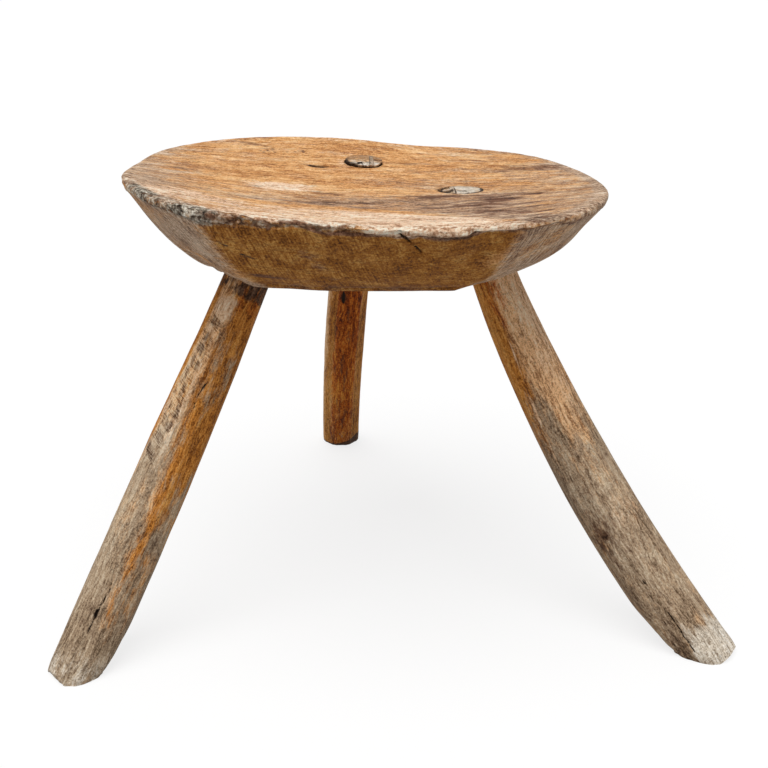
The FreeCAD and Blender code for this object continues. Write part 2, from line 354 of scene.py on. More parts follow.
class Socket:
    """An output among a material's nodes. Arithmetic on it adds Math nodes, and node() adds any other."""

    def __init__(self, tree, output=None):
        self.tree, self.output = tree, output

    def node(self, kind, settings, sockets, result=0):
        """A new node: its settings come first, then its sockets' values or links. Gives one output."""
        made = self.tree.nodes.new(kind)
        for name, value in settings.items():
            setattr(made, name, value)
        for name, value in sockets.items():
            if isinstance(value, Socket):
                self.tree.links.new(value.output, made.inputs[name])
            else:
                made.inputs[name].default_value = value
        return Socket(self.tree, made.outputs[result])

    def maths(self, operation, first, second):
        """A Math node on two values or sockets."""
        return self.node("ShaderNodeMath", {"operation": operation}, {0: first, 1: second})

    def __add__(self, other):
        return self.maths("ADD", self, other)

    def __sub__(self, other):
        return self.maths("SUBTRACT", self, other)

    def __rsub__(self, other):
        return self.maths("SUBTRACT", other, self)

    def __mul__(self, other):
        return self.maths("MULTIPLY", self, other)

    __radd__, __rmul__ = __add__, __mul__

    def within(self, low, high):
        """Smooth step of a value: 0 at low and 1 at high."""
        ends = {"Value": self, "From Min": low, "From Max": high}
        return self.node("ShaderNodeMapRange", {"interpolation_type": "SMOOTHSTEP"}, ends)

    def mix(self, first, second):
        """The first colour where the value is 0, the second where it is 1."""
        return self.node("ShaderNodeMix", {"data_type": "RGBA"}, {0: self, 6: first, 7: second}, 2)

    def shade(self, dark, middle, light):
        """Three tones: dark where the value is 0, the middle one at a half and light at 1."""
        return self.within(0.45, 1.0).mix(self.within(0.0, 0.55).mix(dark, middle), light)

    def vector(self, operation, *others):
        """A Vector Math node on this vector and the others."""
        return self.node("ShaderNodeVectorMath", {"operation": operation}, dict(enumerate((self, *others))))

    def noise(self, size, detail, roughness, result=0):
        """Noise on a vector, with lumps of that size along each axis."""
        sockets = {"Scale": 1.0, "Detail": detail, "Roughness": roughness}
        return self.node("ShaderNodeTexNoise", {}, {"Vector": self.vector("DIVIDE", size), **sockets}, result)

    def near(self, middle, width):
        """1 where a value equals the middle one, falling smoothly to 0 at that distance from it."""
        return self.maths("ABSOLUTE", self - middle, 0.0).within(width, 0.0)

    def swayed(self, size, reach):
        """A vector pushed to and fro across the grain by noise, up to that reach."""
        push = self.noise(size, 2, 0.5, 1)
        return self.vector("ADD", push.vector("MULTIPLY_ADD", (0, 2 * reach, 2 * reach), (0, -reach, -reach)))


def tones(*colours):
    """Colours as seen on the wood, 0 to 255, in the linear numbers that a shader takes."""
    seen = np.array(colours) / 255
    linear = np.where(seen > 0.04045, ((seen + 0.055) / 1.055) ** 2.4, seen / 12.92)
    return [(*colour, 1.0) for colour in linear.tolist()]


def worn_wood(name, streak_size, hair_size, wrinkle_size, speck_size, score_size, plain, **finishes):
    """Hand-worn wood. Noises drawn out along the grain, from broad to hair-fine, pick among the three tones
    of each finish; on hewn faces a mottle and scores along the tool's strokes do so, and on crumbled ones a
    coarse grit. The marks on the mesh say where a finish lies, and a noise of its own frays its edge. Short
    dark dashes are the peaks of one more noise, and wrinkles are the lines where another is at a half."""
    material = bpy.data.materials.new(name)
    material.use_nodes = True
    start = Socket(material.node_tree)

    def mark(which, result=2):
        return start.node("ShaderNodeAttribute", {"attribute_name": which}, {}, result)

    grain, tooled, scored, crumbled = mark("grain", 1), mark("tooled"), mark("scored"), mark("crumbled")
    fibre = grain.swayed((130, 40, 40), 8).swayed((22, 8, 8), 2.4)
    broad = fibre.noise((80, 26, 26), 2, 0.5).within(0.3, 0.7)
    streak = fibre.noise(streak_size, 4, 0.62).within(0.3, 0.7)
    hair = fibre.noise(hair_size, 4, 0.7).within(0.3, 0.7)
    speck = grain.noise(speck_size, 2, 0.7).within(0.3, 0.7)
    grit = grain.noise((3.6, 3.6, 3.6), 5, 0.75).within(0.36, 0.64)
    mottle = grain.noise((16, 16, 16), 4, 0.65).within(0.32, 0.68)
    dash = fibre.vector("ADD", (51, 17, 33)).noise(hair_size, 2, 0.5).within(0.64, 0.76)
    wrinkle = fibre.noise(wrinkle_size, 3, 0.6).near(0.5, 0.04) * mottle
    score = mark("tool", 1).noise(score_size, 2, 0.6).within(0.3, 0.7)
    grained = 0.3 * broad + 0.42 * streak + 0.5 * hair + 0.4 * speck - 0.81
    hewn = 0.45 * mottle + 0.2 * hair + 0.45 * speck - 0.55
    light = 0.5 + grained + tooled * (hewn - grained)
    light = light + 0.9 * crumbled * (grit - 0.5) + 0.9 * scored * (score - 0.5)
    colour = light.shade(*plain)
    shares = {}
    for number, (finish, three) in enumerate(finishes.items()):
        fray = fibre.vector("ADD", (61 + 97 * number, 37, 53)).noise(hair_size, 4, 0.7).within(0.3, 0.7)
        edge = 2 * mark(finish) - 1.4 + 0.8 * fray + 0.5 * crumbled * (grit - 0.5)
        shares[finish] = edge.within(-0.65, 0.65)
        colour = shares[finish].mix(colour, light.shade(*three))
    line = (dash + wrinkle) * (0.5 - 0.25 * shares["pale"])
    colour = line.mix(colour, finishes["stain"][0])
    roughness = 0.6 + 0.1 * shares["pale"] + 0.12 * streak + 0.1 * speck
    height = 0.4 * hair + 0.3 * streak + 0.3 * speck + 0.3 * scored * score
    height = height + 0.8 * crumbled * grit - 0.5 * line
    relief = start.node("ShaderNodeBump", {}, {"Strength": 0.8, "Distance": 0.0007, "Height": height})
    shader = material.node_tree.nodes["Principled BSDF"]
    shader.inputs["Specular IOR Level"].default_value = 0.08
    for socket, value in {"Base Color": colour, "Roughness": roughness, "Normal": relief}.items():
        material.node_tree.links.new(value.output, shader.inputs[socket])
    return material


LEG_CENTRE = np.array([3.5, 40.0, 0.0])
HEAD_CIRCLE, FOOT_CIRCLE = 68.0, 278.0
NECK_DIAMETER, TENON_END_DIAMETER, NECK_GAP = 34.4, 30.0, 3.0


class Leg:
    """One leg's line: the middle of the tenon's end, the neck under the seat, the bend and the foot."""

    def __init__(self, name, head, proud, foot, bow, turn, thicker, kerf_offset, worn, gap):
        """head and foot are an angle round the legs' centre and a distance further out than their circles.
        proud is how far the tenon stands above the dish, and thicker is what the pole has over the usual
        diameter. bow and turn are the degrees, upright and sideways, by which the tenon leaves the straight
        line to the foot. worn says how far the tenon's end is rounded at its edge, hollowed on its left and
        chipped in front. gap is the width of the joint round it, and how much wider it is on the left."""
        self.name, self.thicker, self.kerf_offset = name, thicker, kerf_offset
        self.proud, self.worn, self.gap = proud, worn, gap
        self.seat_point = LEG_CENTRE + polar(HEAD_CIRCLE + head[1], head[0])
        self.head = from_top(self.seat_point + UP * (dish_level(np.hypot(*self.seat_point[:2])) + proud))
        self.foot = SEAT_FOOT + LEG_CENTRE + polar(FOOT_CIRCLE + foot[1], foot[0])
        line = self.foot - self.head
        bearing = np.degrees(np.arctan2(line[1], line[0])) + turn
        lean = np.arctan2(np.hypot(line[0], line[1]), -line[2]) - np.radians(bow)
        self.way = polar(np.sin(lean), bearing) - UP * np.cos(lean)
        level = UNDERSIDE_HEIGHT - NECK_GAP - NECK_DIAMETER / 2 * np.sin(lean)
        self.neck = self.head + self.way * ((self.head[2] - level) / -self.way[2])
        self.length = np.linalg.norm(self.foot - self.neck)
        self.bend = self.neck + self.way * (self.length / 2)

    def tenon_radius(self, up):
        """The tapered tenon's radius, at a share of the way up from the neck to the end."""
        return (NECK_DIAMETER + (TENON_END_DIAMETER - NECK_DIAMETER) * up) / 2

    def joint(self, spoke):
        """The width of the joint on the tenon's side that faces a spoke."""
        return self.gap[0] + self.gap[1] * np.clip(-spoke[..., 0], 0, 1) ** 4

    def beside(self, points):
        """How far points lie outside the hole for the tenon, square to its way."""
        away = points - self.head
        away = away - (away @ self.way)[:, None] * self.way
        reach = np.linalg.norm(away, axis=1)
        return reach - TENON_END_DIAMETER / 2 - self.joint(away / np.maximum(reach, 1e-6)[:, None])

    def above_end(self, points):
        """How far points lie above the tenon's worn end, which follows the dish, is rounded towards its
        edge by the square of the distance from its middle, and is hollowed and chipped."""
        local = to_top(points)
        away = local - self.seat_point
        rounded = self.worn[0] * (away[..., 0] ** 2 + away[..., 1] ** 2) / (TENON_END_DIAMETER / 2) ** 2
        hollow = self.worn[1] * ease(-6, -9, away[..., 0]) * ease(-20, -14, away[..., 0])
        chips = self.worn[2] * ease(-0.1, 0.3, lumps(points, (7, 6, 6), 74, 2)) * ease(-3, -9, away[..., 1])
        level = dish_level(np.hypot(local[..., 0], local[..., 1])) + self.proud
        return local[..., 2] - level + rounded + hollow + chips


LEGS = (
    Leg("left", head=(206.0, 1.3), proud=0.2, foot=(217.6, -4.0), bow=0.9, turn=0.0, thicker=-0.2,
        kerf_offset=0.0, worn=(0.1, 0.0, 0.0), gap=(0.05, 0.0)),
    Leg("right", head=(-26.0, 8.3), proud=1.0, foot=(-28.5, 11.0), bow=7.6, turn=1.0, thicker=2.8,
        kerf_offset=-5.5, worn=(0.7, 1.1, 0.3), gap=(0.4, 2.4)),
    Leg("rear", head=(95.3, -9.9), proud=3.5, foot=(97.7, -9.9), bow=0.3, turn=3.6, thicker=-5.0,
        kerf_offset=6.0, worn=(1.0, 0.0, 0.9), gap=(0.45, 0.4)),
)


def spokes(way, angle):
    """Unit vectors square to a way, at an angle from the level one, anticlockwise seen from above."""
    across = np.cross(way, UP)
    across = across / np.linalg.norm(across, axis=-1, keepdims=True)
    over = np.cross(across, way)
    turn = np.radians(angle)[..., None]
    return across * np.cos(turn) + over * np.sin(turn)


def mortise(leg, columns=72):
    """The hole bored for a tenon, which is uneven: a cone a little wider than the tenon, past both faces,
    and wider still on its left."""
    angle = 360 * np.arange(columns) / columns
    up = np.concatenate([[1.5], np.linspace(1.04, 0.86, 13), [0.75, 0.5, 0.25, 0.0, -0.5]])[:, None]
    uneven = polar(1.0, angle) * 1.6 + UP * up[..., None] * 2
    spoke = spokes(leg.way, angle[None, :])
    gap = leg.joint(spoke) * (1 + 0.5 * lumps(uneven, 1.0, 51 + ord(leg.name[-1]), 2)) * ease(0.3, 0.9, up)
    ring = leg.neck + (leg.head - leg.neck) * up[..., None]
    ring = ring + spoke * (leg.tenon_radius(up) + gap)[..., None]
    count = ring.shape[0] * columns
    rings = np.arange(count).reshape(-1, columns)
    faces = ring_faces(rings) + [rings[0].tolist(), rings[-1, ::-1].tolist()]
    return solid("mortise", ring.reshape(-1, 3), faces)


points, faces = seat_skin(cells=184, lip_rows=17, flank_rows=43, sole_rows=12)
seat = solid("hewn_seat", roughened_seat(points), faces)
cut_out(seat, [mortise(leg) for leg in LEGS])


def seat_marks(points):
    """The marks that the seat's finish follows, and the places along its grain and its tool marks. The top is
    honey brown, greyed at both ends and along a dark band before the tenons. The front brim and lip are
    bleached, the left lip is silvered, and the flank is brown in front and grey at the sides. Each mark adds
    up shares of zones, bells and eased edges, and lumps make it patchy."""
    zone = SeatZones(points)
    x, y, angle, drop = zone.x, zone.y, zone.angle, zone.drop
    top, flank, edge = zone.top, zone.flank, zone.edge
    blotch = lumps(points, (46, 30, 30), 61)
    patch = lumps(zone.grain, (24, 8, 8), 63)
    fleck = lumps(points, 4.5, 64, 2)
    side = 1 - zone.front

    def spot(middle, size):
        """A rounded spot on the top: a bell along the seat times one across it."""
        return top * bell(x, middle[0], size[0]) * bell(y, middle[1], size[1])

    # The brim before the dish with its bleached length, the dark band behind it and the dark gaps round the
    # tenons, which painted shade makes darker down the holes
    strayed = y + 9 * blotch + 8 * patch
    border = np.interp(x, [-150, -110, -65, 0, 40, 90], [-30, -56, -78, -84, -94, -110])
    brim = top * ease(2, -16, strayed - border) * ease(-172, -146, angle) * ease(-10, -40, angle)
    bleached = brim * ease(118, 58, x + 18 * patch + 12 * blotch)
    upper, lower = -28 + 0.1 * (x + 70), -68 - 0.0022 * np.maximum(x + 70, 0) ** 2
    band = top * ease(24, -20, strayed + 8 * patch - upper) * ease(-10, 10, strayed - lower)
    band = band * ease(-130, -60, x) * ease(150, 92, x + 20 * blotch)
    gaps_and_shade = sum(ease(1.2, 0.2, leg.beside(points)) * ease(0.1, 0.4, leg.gap[0]) for leg in LEGS)
    # Painted shade: the gaps darken further below the dish, down the holes.
    gaps_and_shade = gaps_and_shade * (zone.inset > 20) * (0.42 + 0.58 * ease(-0.1, -0.6, zone.sunk))

    # The lip's silvered left, its crumbled underside at the front, darkened by painted shade, and the painted
    # shadow line below it
    left_lip = edge * ease(-168, -152, angle) * ease(-118, -128, angle)
    shaded_underlip = ease(-131, -125, angle) * ease(-85, -94, angle) * ease(1.6, 1.1, zone.lip + 0.2 * fleck)
    shaded_underlip = shaded_underlip * ease(7.5, 3.5, zone.inset + 5 * patch + 3 * fleck)
    line = zone.under * ease(0.95, 1.1, zone.lip + 0.2 * patch) * ease(1.7, 1.25, zone.lip + 0.3 * blotch)
    line = line * ease(-108, -98, angle)

    warm = flank * (0.97 * zone.front + 0.2 * side + 0.2 * blotch) + 0.7 * shaded_underlip
    warm -= 0.5 * flank * bell(angle, -57, 5) * bell(drop, 30, 10)

    left_end, right_end = ease(-105, -172, x + 0.25 * y + 24 * blotch), ease(110, 168, x)
    grey = top * (0.6 * left_end + 0.25 * right_end + 0.14 * ease(40, 100, x + 30 * blotch))
    grey += 0.3 * spot((48, 28), (36, 24)) + top * (0.2 + 0.3 * patch) * (1 - bleached)
    grey += 0.42 * band + 0.5 * (brim - bleached) + flank * side * (0.66 + 0.4 * blotch)
    grey += 0.8 * edge * round_bell(angle, -15, 42) + 0.5 * left_lip

    front_lip = ease(-130, -118, angle) * ease(-46, -64, angle) * (1 - 0.5 * round_bell(angle, -104, 13))
    rubbed_lip = humps(angle, ((-90, 75, 0.3), (-72, 12, 0.2)))
    pale = edge * (front_lip + rubbed_lip + 0.4 * patch) * (1 - shaded_underlip) - 0.3 * shaded_underlip
    pale += bleached * (0.56 + 0.42 * ease(-5, 25, x) - 0.12 * ease(-45, -100, x) + 0.3 * patch)
    pale += top * (0.14 + 0.3 * patch) - 0.35 * band * (1 - bleached)
    pale += spot((-63, -3 + 4 * patch), (23, 13)) + 0.6 * spot((74, -10), (22, 3.5))
    pale += 0.4 * spot((-20, 96), (5, 12))
    silver = left_lip * (0.7 + 0.5 * patch + 0.3 * blotch) + shaded_underlip * (0.42 + 0.4 * fleck)
    silver += 0.5 * spot((-80, -8), (8, 8))

    stain = band * (0.3 + 0.7 * patch + 0.2 * fleck) + 0.2 * top * ease(30, 100, x) * (1 + 1.4 * patch)
    stain += 0.45 * spot((-140, 24), (17, 6)) + 0.6 * spot((-99, 128), (16, 5))
    stain += 0.4 * spot((115, 68), (18, 10)) + 0.45 * spot((143, 66), (13, 8))
    streaks = (((14, 97), (44, 104), 7, 0.5), ((-44, -10), (-14, -22), 7, 0.5),
               ((-20, -24), (92, -17), 5, 0.42), ((78, -60), (130, -16), 5, 0.7),
               ((96, -106), (128, -92), 5, 0.6), ((-70, -44), (20, -52), 5, 0.4))
    for one_end, other_end, width, depth in streaks:
        stain += top * depth * near_line(zone.local[:, :2], one_end, other_end, width) * (0.8 + patch)
    scrawl = ease(-0.1, 0.3, lumps(points, 3.2, 67, 2))
    stain += scrawl * (spot((-81, 113), (8, 11)) + spot((-58, 121), (8, 11)))
    # Painted shade: the crumbled underside of the front lip, darkest in its notches, and the shadow line
    # below the lip.
    stain = stain * (1 - 0.4 * bleached) + shaded_underlip * (0.42 + 0.4 * zone.notch + 0.4 * patch) + 0.6 * line
    smears = (((-103, 26), (3.5, 6), 0.5), ((-101, 36), (3, 5), 0.45), ((-99, 47), (3, 2), 0.5),
              ((-121, 50), (4, 1.8), 0.6), ((-116, 51), (5, 1.6), 0.6))
    for (at, low), (wide, tall), depth in smears:
        stain += flank * depth * round_bell(angle, at, wide) * bell(drop, low, tall)
    mottled = zone.front * ease(0.0, 0.6, lumps(points, 22, 66))
    # Darker towards the bottom of the flank, and mottled in front.
    stain += 0.3 * flank * (ease(44, 60, drop + 6 * patch) + mottled)

    # Dark: the slit and the crack, with painted shade in the bites under the lip, in the crumbled underside
    # and along the shadow line below it.
    dark = 1.3 * zone.slit + zone.crack + 0.3 * zone.under * zone.bite + gaps_and_shade
    dark += shaded_underlip * (0.3 * zone.notch - 0.1 + 0.6 * fleck) + line * zone.front * (0.25 + 0.7 * patch)
    dark += 0.6 * left_lip * ease(0.1, 0.5, fleck + 0.4 * patch)
    for one_end, other_end in (((-124.5, 24), (-121.5, 26)), ((-120.5, 31), (-117, 34))):
        dark += flank * near_line(zone.map, flank_map(*one_end), flank_map(*other_end), 0.9)

    crumbled = edge * (0.3 + 0.65 * round_bell(angle, -100, 58)) + 0.28 * brim + 0.18 * top
    scored = flank * (0.36 + 0.2 * blotch + 0.2 * side) * (1 - 0.6 * zone.front * ease(-90, -76, angle))
    marks = dict(warm=warm, grey=grey, pale=pale, silver=silver, stain=stain, dark=dark)
    return zone.grain, zone.tool, dict(marks, tooled=flank, scored=scored, crumbled=crumbled)


board = worn_wood(
    "seat_board",
    streak_size=(24, 5.5, 5.5),
    hair_size=(7, 2.5, 2.5),
    wrinkle_size=(13, 4.5, 4.5),
    speck_size=(1.5, 2.4, 2.0),
    score_size=(34, 1.5, 1.5),
    plain=tones((150, 92, 46), (218, 158, 98), (246, 204, 150)),
    warm=tones((86, 46, 12), (164, 105, 43), (212, 158, 86)),
    grey=tones((108, 84, 68), (188, 156, 128), (230, 206, 180)),
    pale=tones((168, 124, 94), (244, 205, 170), (255, 244, 222)),
    silver=tones((52, 46, 40), (156, 144, 126), (232, 224, 208)),
    stain=tones((56, 34, 24), (112, 76, 56), (158, 118, 92)),
    dark=tones((16, 9, 5), (46, 32, 22), (96, 78, 62)),
)
marked(seat, *seat_marks(places(seat)))
seat.data.materials.clear()
seat.data.materials.append(board)
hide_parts("seat")
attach(seat, "root")

# Legs: three hewn poles with eight long flats, each in one piece with the tapered tenon that goes up
# through the seat. The tenon's end is sawn, split with a kerf for its wedge and worn level with the dish.
POLE_MID_DIAMETER, POLE_FOOT_DIAMETER = 43.0, 43.6
FLAT_ANGLE, FLAT_HALF, ARRIS_HALF = 45.0, 15.75, 6.75
ROUND_UNTIL = 0.15
TOES = {"left": (6.6, 4.0), "right": (12.0, 1.0), "rear": (12.0, 1.0)}
KERF_END_WIDTH, KERF_ROOT_WIDTH, KERF_DEPTH, WEDGE_CLEARANCE = 3.4, 1.0, 30.0, 0.1


def pole_line(leg, share):
    """The pole's middle and direction: a parabola from neck to foot that leaves the neck in line with the
    tenon, and a straight line past the foot."""
    share = np.asarray(share, float)[..., None]
    held = np.clip(share, 0, 1)
    way = (leg.bend - leg.neck) * (1 - held) + (leg.foot - leg.bend) * held
    middle = leg.neck * (1 - held) ** 2 + leg.bend * 2 * held * (1 - held) + leg.foot * held**2
    return middle + 2 * way * (share - held), way / np.linalg.norm(way, axis=-1, keepdims=True)


def pole_skin(leg, share, angle):
    """A point of the hewn pole. Its radius is a parabola through neck, middle and foot. Along a flat it
    goes as the cosine of the flat's half angle over that of the angle from its middle, and so do the eased
    arrises between flats. At the neck the pole is round."""
    middle, way = pole_line(leg, share)
    held, rest = np.clip(share, 0, 1), 1 - np.clip(share, 0, 1)
    mid, foot = POLE_MID_DIAMETER + leg.thicker, POLE_FOOT_DIAMETER + leg.thicker
    radius = NECK_DIAMETER * rest * (rest - held) + mid * 4 * held * rest + foot * held * (held - rest)
    turn = np.abs((angle + FLAT_ANGLE / 2) % FLAT_ANGLE - FLAT_ANGLE / 2)
    flat = np.cos(np.radians(FLAT_HALF)) / np.cos(np.radians(turn))
    arris = np.cos(np.radians(ARRIS_HALF)) / np.cos(np.radians(FLAT_ANGLE / 2 - turn))
    hewn = np.clip(held / ROUND_UNTIL, 0, 1)
    radius = radius / 2 * (1 - hewn + hewn * np.where(turn < FLAT_HALF, flat, arris))
    return middle + spokes(way, angle) * radius[..., None]


def crossing(clearance, low, high):
    """For each column, the share at which the clearance runs out, found by halving the range 30 times."""
    for _ in range(30):
        half = (low + high) / 2
        clear = clearance(half) > 0
        low, high = np.where(clear, half, low), np.where(clear, high, half)
    return low


def leg_skin(leg, columns, pole_rows, tenon_rows, cap_rows):
    """The leg's points and faces, from the middle of the tenon's end to the middle of the foot. Rows of
    the tenon stop at its worn end, and rows of the pole at the floor and the bevel of the toe, which starts a
    little way in from the foot's outer edge and rises at a slope."""
    angle = 360 * np.arange(columns) / columns
    out = leg.foot - leg.neck
    out = np.array([out[0], out[1], 0]) / np.hypot(out[0], out[1])
    end_radius = (POLE_FOOT_DIAMETER + leg.thicker) / 2
    inset, slope = TOES[leg.name]
    toe = leg.foot + out * (end_radius / -pole_line(leg, 1.0)[1][2] - inset)

    def tenon_skin(up):
        ring = leg.neck + (leg.head - leg.neck) * up[..., None]
        return ring + spokes(leg.way, np.broadcast_to(angle, up.shape)) * leg.tenon_radius(up)[..., None]

    def floor_clearance(share):
        point = pole_skin(leg, share, angle)
        return np.minimum(point[:, 2], point[:, 2] - slope * ((point - toe) @ out))

    top_end = crossing(lambda up: -leg.above_end(tenon_skin(up)), np.zeros(columns), np.full(columns, 2.0))
    foot_end = crossing(floor_clearance, np.full(columns, 0.5), np.full(columns, 1.5))
    tenon = tenon_skin(np.linspace(1, 0, tenon_rows)[:, None] * top_end)
    shares = np.linspace(0, 1, pole_rows + 1)[1:, None] * foot_end
    pole = pole_skin(leg, shares, np.broadcast_to(angle, shares.shape))
    end_cap = leg.head + (tenon[0] - leg.head) * np.linspace(0, 1, cap_rows)[1:-1, None, None]
    sole = leg.foot + (pole[-1] - leg.foot) * np.linspace(1, 0, cap_rows)[1:-1, None, None]
    sole[..., 2] = np.maximum(0, slope * ((sole - toe) @ out))
    rows = np.concatenate([end_cap, tenon, pole, sole])
    rings = 1 + np.arange(rows.shape[0] * columns).reshape(-1, columns)
    points = np.vstack([leg.head, rows.reshape(-1, 3), leg.foot])
    capped = points[: 1 + end_cap.shape[0] * columns]
    capped -= TOP_AXES[:, 2] * leg.above_end(capped)[:, None]
    first = np.stack([rings[0], np.roll(rings[0], -1), np.zeros(columns, int)], -1).tolist()
    return points, first + ring_faces(rings) + fan_faces(rings[-1], len(points) - 1)


def leg_place(leg, points):
    """Points as the leg's grain sees them: share of the way from neck to foot, angle round the pole and
    distance from its middle. The nearest point of the parabola comes from eight steps of Newton's method."""
    bent, side = leg.neck - 2 * leg.bend + leg.foot, leg.bend - leg.neck
    share = (points - leg.neck) @ (leg.foot - leg.neck) / leg.length**2
    for _ in range(8):
        held = np.clip(share, 0, 1)[:, None]
        middle = leg.neck + 2 * side * held + bent * held**2
        slope = 2 * side + 2 * bent * held
        middle = middle + slope * (share[:, None] - held)
        share = share + ((points - middle) * slope).sum(1) / (slope**2).sum(1)
    way = slope / np.linalg.norm(slope, axis=1, keepdims=True)
    away = points - middle
    x = (away * spokes(way, np.zeros(len(points)))).sum(1)
    y = (away * spokes(way, np.full(len(points), 90.0))).sum(1)
    return share, np.degrees(np.arctan2(y, x)), np.hypot(x, y), away


def leg_map(leg, share, angle):
    """A flat map of the pole: millimetres down it, and round it."""
    return np.stack(np.broadcast_arrays(share * leg.length, np.radians(angle) * POLE_MID_DIAMETER / 2), -1)


# What differs from leg to leg: the angle in front, the wear at the foot's edge and inner side, the checks
# and the nicks, which have places given by their share of the way down and their angle.
FACING = {"left": 120, "right": 30, "rear": -90}
FOOT_WEAR = {"left": (1.8, 7.0, 32), "right": (2.0, 8.0, 32), "rear": (0.5, 0.0, 10)}
CHECKS = {
    "left": (((0.762, 132), (0.84, 130), 0.5, 1.1), ((0.838, 131), (0.864, 129), 1.7, 3.2),
             ((0.862, 129), (0.9, 127), 0.8, 1.0), ((0.26, 149), (0.302, 141), 0.8, 0.6),
             ((0.296, 141), (0.34, 143), 0.5, 0.5)),
    "right": (((0.875, 22), (0.985, 15), 0.9, 2.2), ((0.786, 14), (0.798, 16), 1.1, 0.6)),
    "rear": (((0.2, -116), (0.25, -114), 3.2, 1.0),),
}
NICKS = ((0.131, 114), (0.172, 111), (0.205, 113), (0.238, 110), (0.27, 106), (0.294, 103), (0.322, 103),
         (0.354, 106), (0.388, 102), (0.425, 97), (0.465, 95))


class LegZones:
    """Where points lie on a leg: along it, round it, on its flat map and in its grain, with its checks,
    and with the groups of slanting nicks that follow one another down the outer flat of the left leg."""

    def __init__(self, leg, points):
        self.leg, self.height = leg, points[:, 2]
        self.share, angle, self.radius, self.away = leg_place(leg, points)
        facing = FACING[leg.name]
        self.angle = (angle - facing + 180) % 360 - 180 + facing
        self.map = leg_map(leg, self.share, self.angle)
        across = polar(self.radius, angle)
        self.grain = np.stack([self.map[:, 0], across[:, 0], across[:, 1]], -1) + 400 * (1 + LEGS.index(leg))
        self.tool = np.stack([self.map[:, 1], self.map[:, 0] - 0.3 * self.map[:, 1], 0 * angle], -1)
        self.blotch = lumps(self.grain, (60, 16, 16), 81)
        self.patch = lumps(self.grain, (16, 5, 5), 82)
        self.fleck = lumps(self.grain, (5, 3, 3), 86, 2)
        self.pole = ease(0.0, 0.06, self.share)
        self.check, self.depth = 0.0 * angle, 0.0 * angle
        wandering = self.map + np.stack([0 * angle, 1.1 * self.fleck + 1.6 * self.patch], -1)
        for start, end, width, depth in CHECKS[leg.name]:
            line = near_line(wandering, leg_map(leg, *start), leg_map(leg, *end), width)
            self.check, self.depth = np.maximum(self.check, line), self.depth + depth * line
        self.nick = 0.0 * angle
        for middle in NICKS * (leg.name == "left"):
            down, round_it = (self.map - leg_map(leg, *middle)).T
            slanted = np.abs(down - 0.45 * round_it + 2.4 * self.patch)
            beside = np.abs(round_it + 1.5 + 3 * self.fleck)
            self.nick = np.maximum(self.nick, ease(6.2, 2.6, slanted) * ease(9.0, 5.0, beside))

    def line(self, start, end, width):
        """A line on the leg between two places, each given by its share of the way down and its angle."""
        return near_line(self.map, leg_map(self.leg, *start), leg_map(self.leg, *end), width)

    def spot(self, middle, size):
        """A rounded spot on the leg: a bell along it times one round it."""
        return bell(self.share, middle[0], size[0]) * bell(self.angle, middle[1], size[1])


def roughened_leg(leg, points):
    """The leg as hewn and worn: long lumps move its skin in and out, nicks and checks are pushed in, and
    the foot's edge is rounded, most of all on its inner side."""
    zone = LegZones(leg, points)
    outward = lumps(zone.grain, (90, 11, 11), 71) * 0.7 + lumps(zone.grain, (24, 3.4, 3.4), 72, 2) * 0.25
    outward -= 0.5 * zone.nick + zone.depth
    away = zone.away / np.maximum(np.linalg.norm(zone.away, axis=1, keepdims=True), 1e-6)
    inner = ease(0.1, 0.9, away @ polar(-1.0, np.degrees(np.arctan2(*(leg.foot - leg.neck)[1::-1]))))
    edge, inside, tall = FOOT_WEAR[leg.name]
    worn = edge * np.clip(1 - zone.height / 12, 0, 1) ** 2
    worn += inside * inner * np.clip(1 - zone.height / tall, 0, 1) ** 2
    outward -= worn * (1 + 0.3 * lumps(zone.grain, (9, 9, 9), 73)) * zone.radius / (POLE_FOOT_DIAMETER / 2)
    if leg.name == "left":
        outward -= 1.6 * zone.spot((1.0, 98), (0.03, 8))
    moved = points + away * (outward * zone.pole)[:, None]
    moved[:, 2] = np.where(zone.height < 0.05, 0, np.maximum(moved[:, 2], 0))
    return moved


def kerf_frame(leg):
    """The kerf's own directions: across its width, which is along the seat's grain, and along its length."""
    side = np.array([1.0, 0, 0]) - leg.way * leg.way[0]
    side /= np.linalg.norm(side)
    return side, np.cross(leg.way, side)


def kerf(leg):
    """The tapered slot sawn into the tenon's end, as a block from its root to well above the tenon."""
    side, along = kerf_frame(leg)
    taper = (KERF_END_WIDTH - KERF_ROOT_WIDTH) / 2 / KERF_DEPTH
    corners, quarters = [], ((-1, -1), (1, -1), (1, 1), (-1, 1))
    for depth in (KERF_DEPTH + WEDGE_CLEARANCE, -TENON_END_DIAMETER):
        half = KERF_ROOT_WIDTH / 2 + WEDGE_CLEARANCE + taper * (KERF_DEPTH - depth)
        middle = leg.head + side * leg.kerf_offset + leg.way * depth
        corners += [middle + side * half * x + along * NECK_DIAMETER / 2 * y for x, y in quarters]
    faces = [(0, 1, 2, 3), (4, 7, 6, 5), (0, 4, 5, 1), (1, 5, 6, 2), (2, 6, 7, 3), (3, 7, 4, 0)]
    return solid("kerf", np.array(corners), faces)


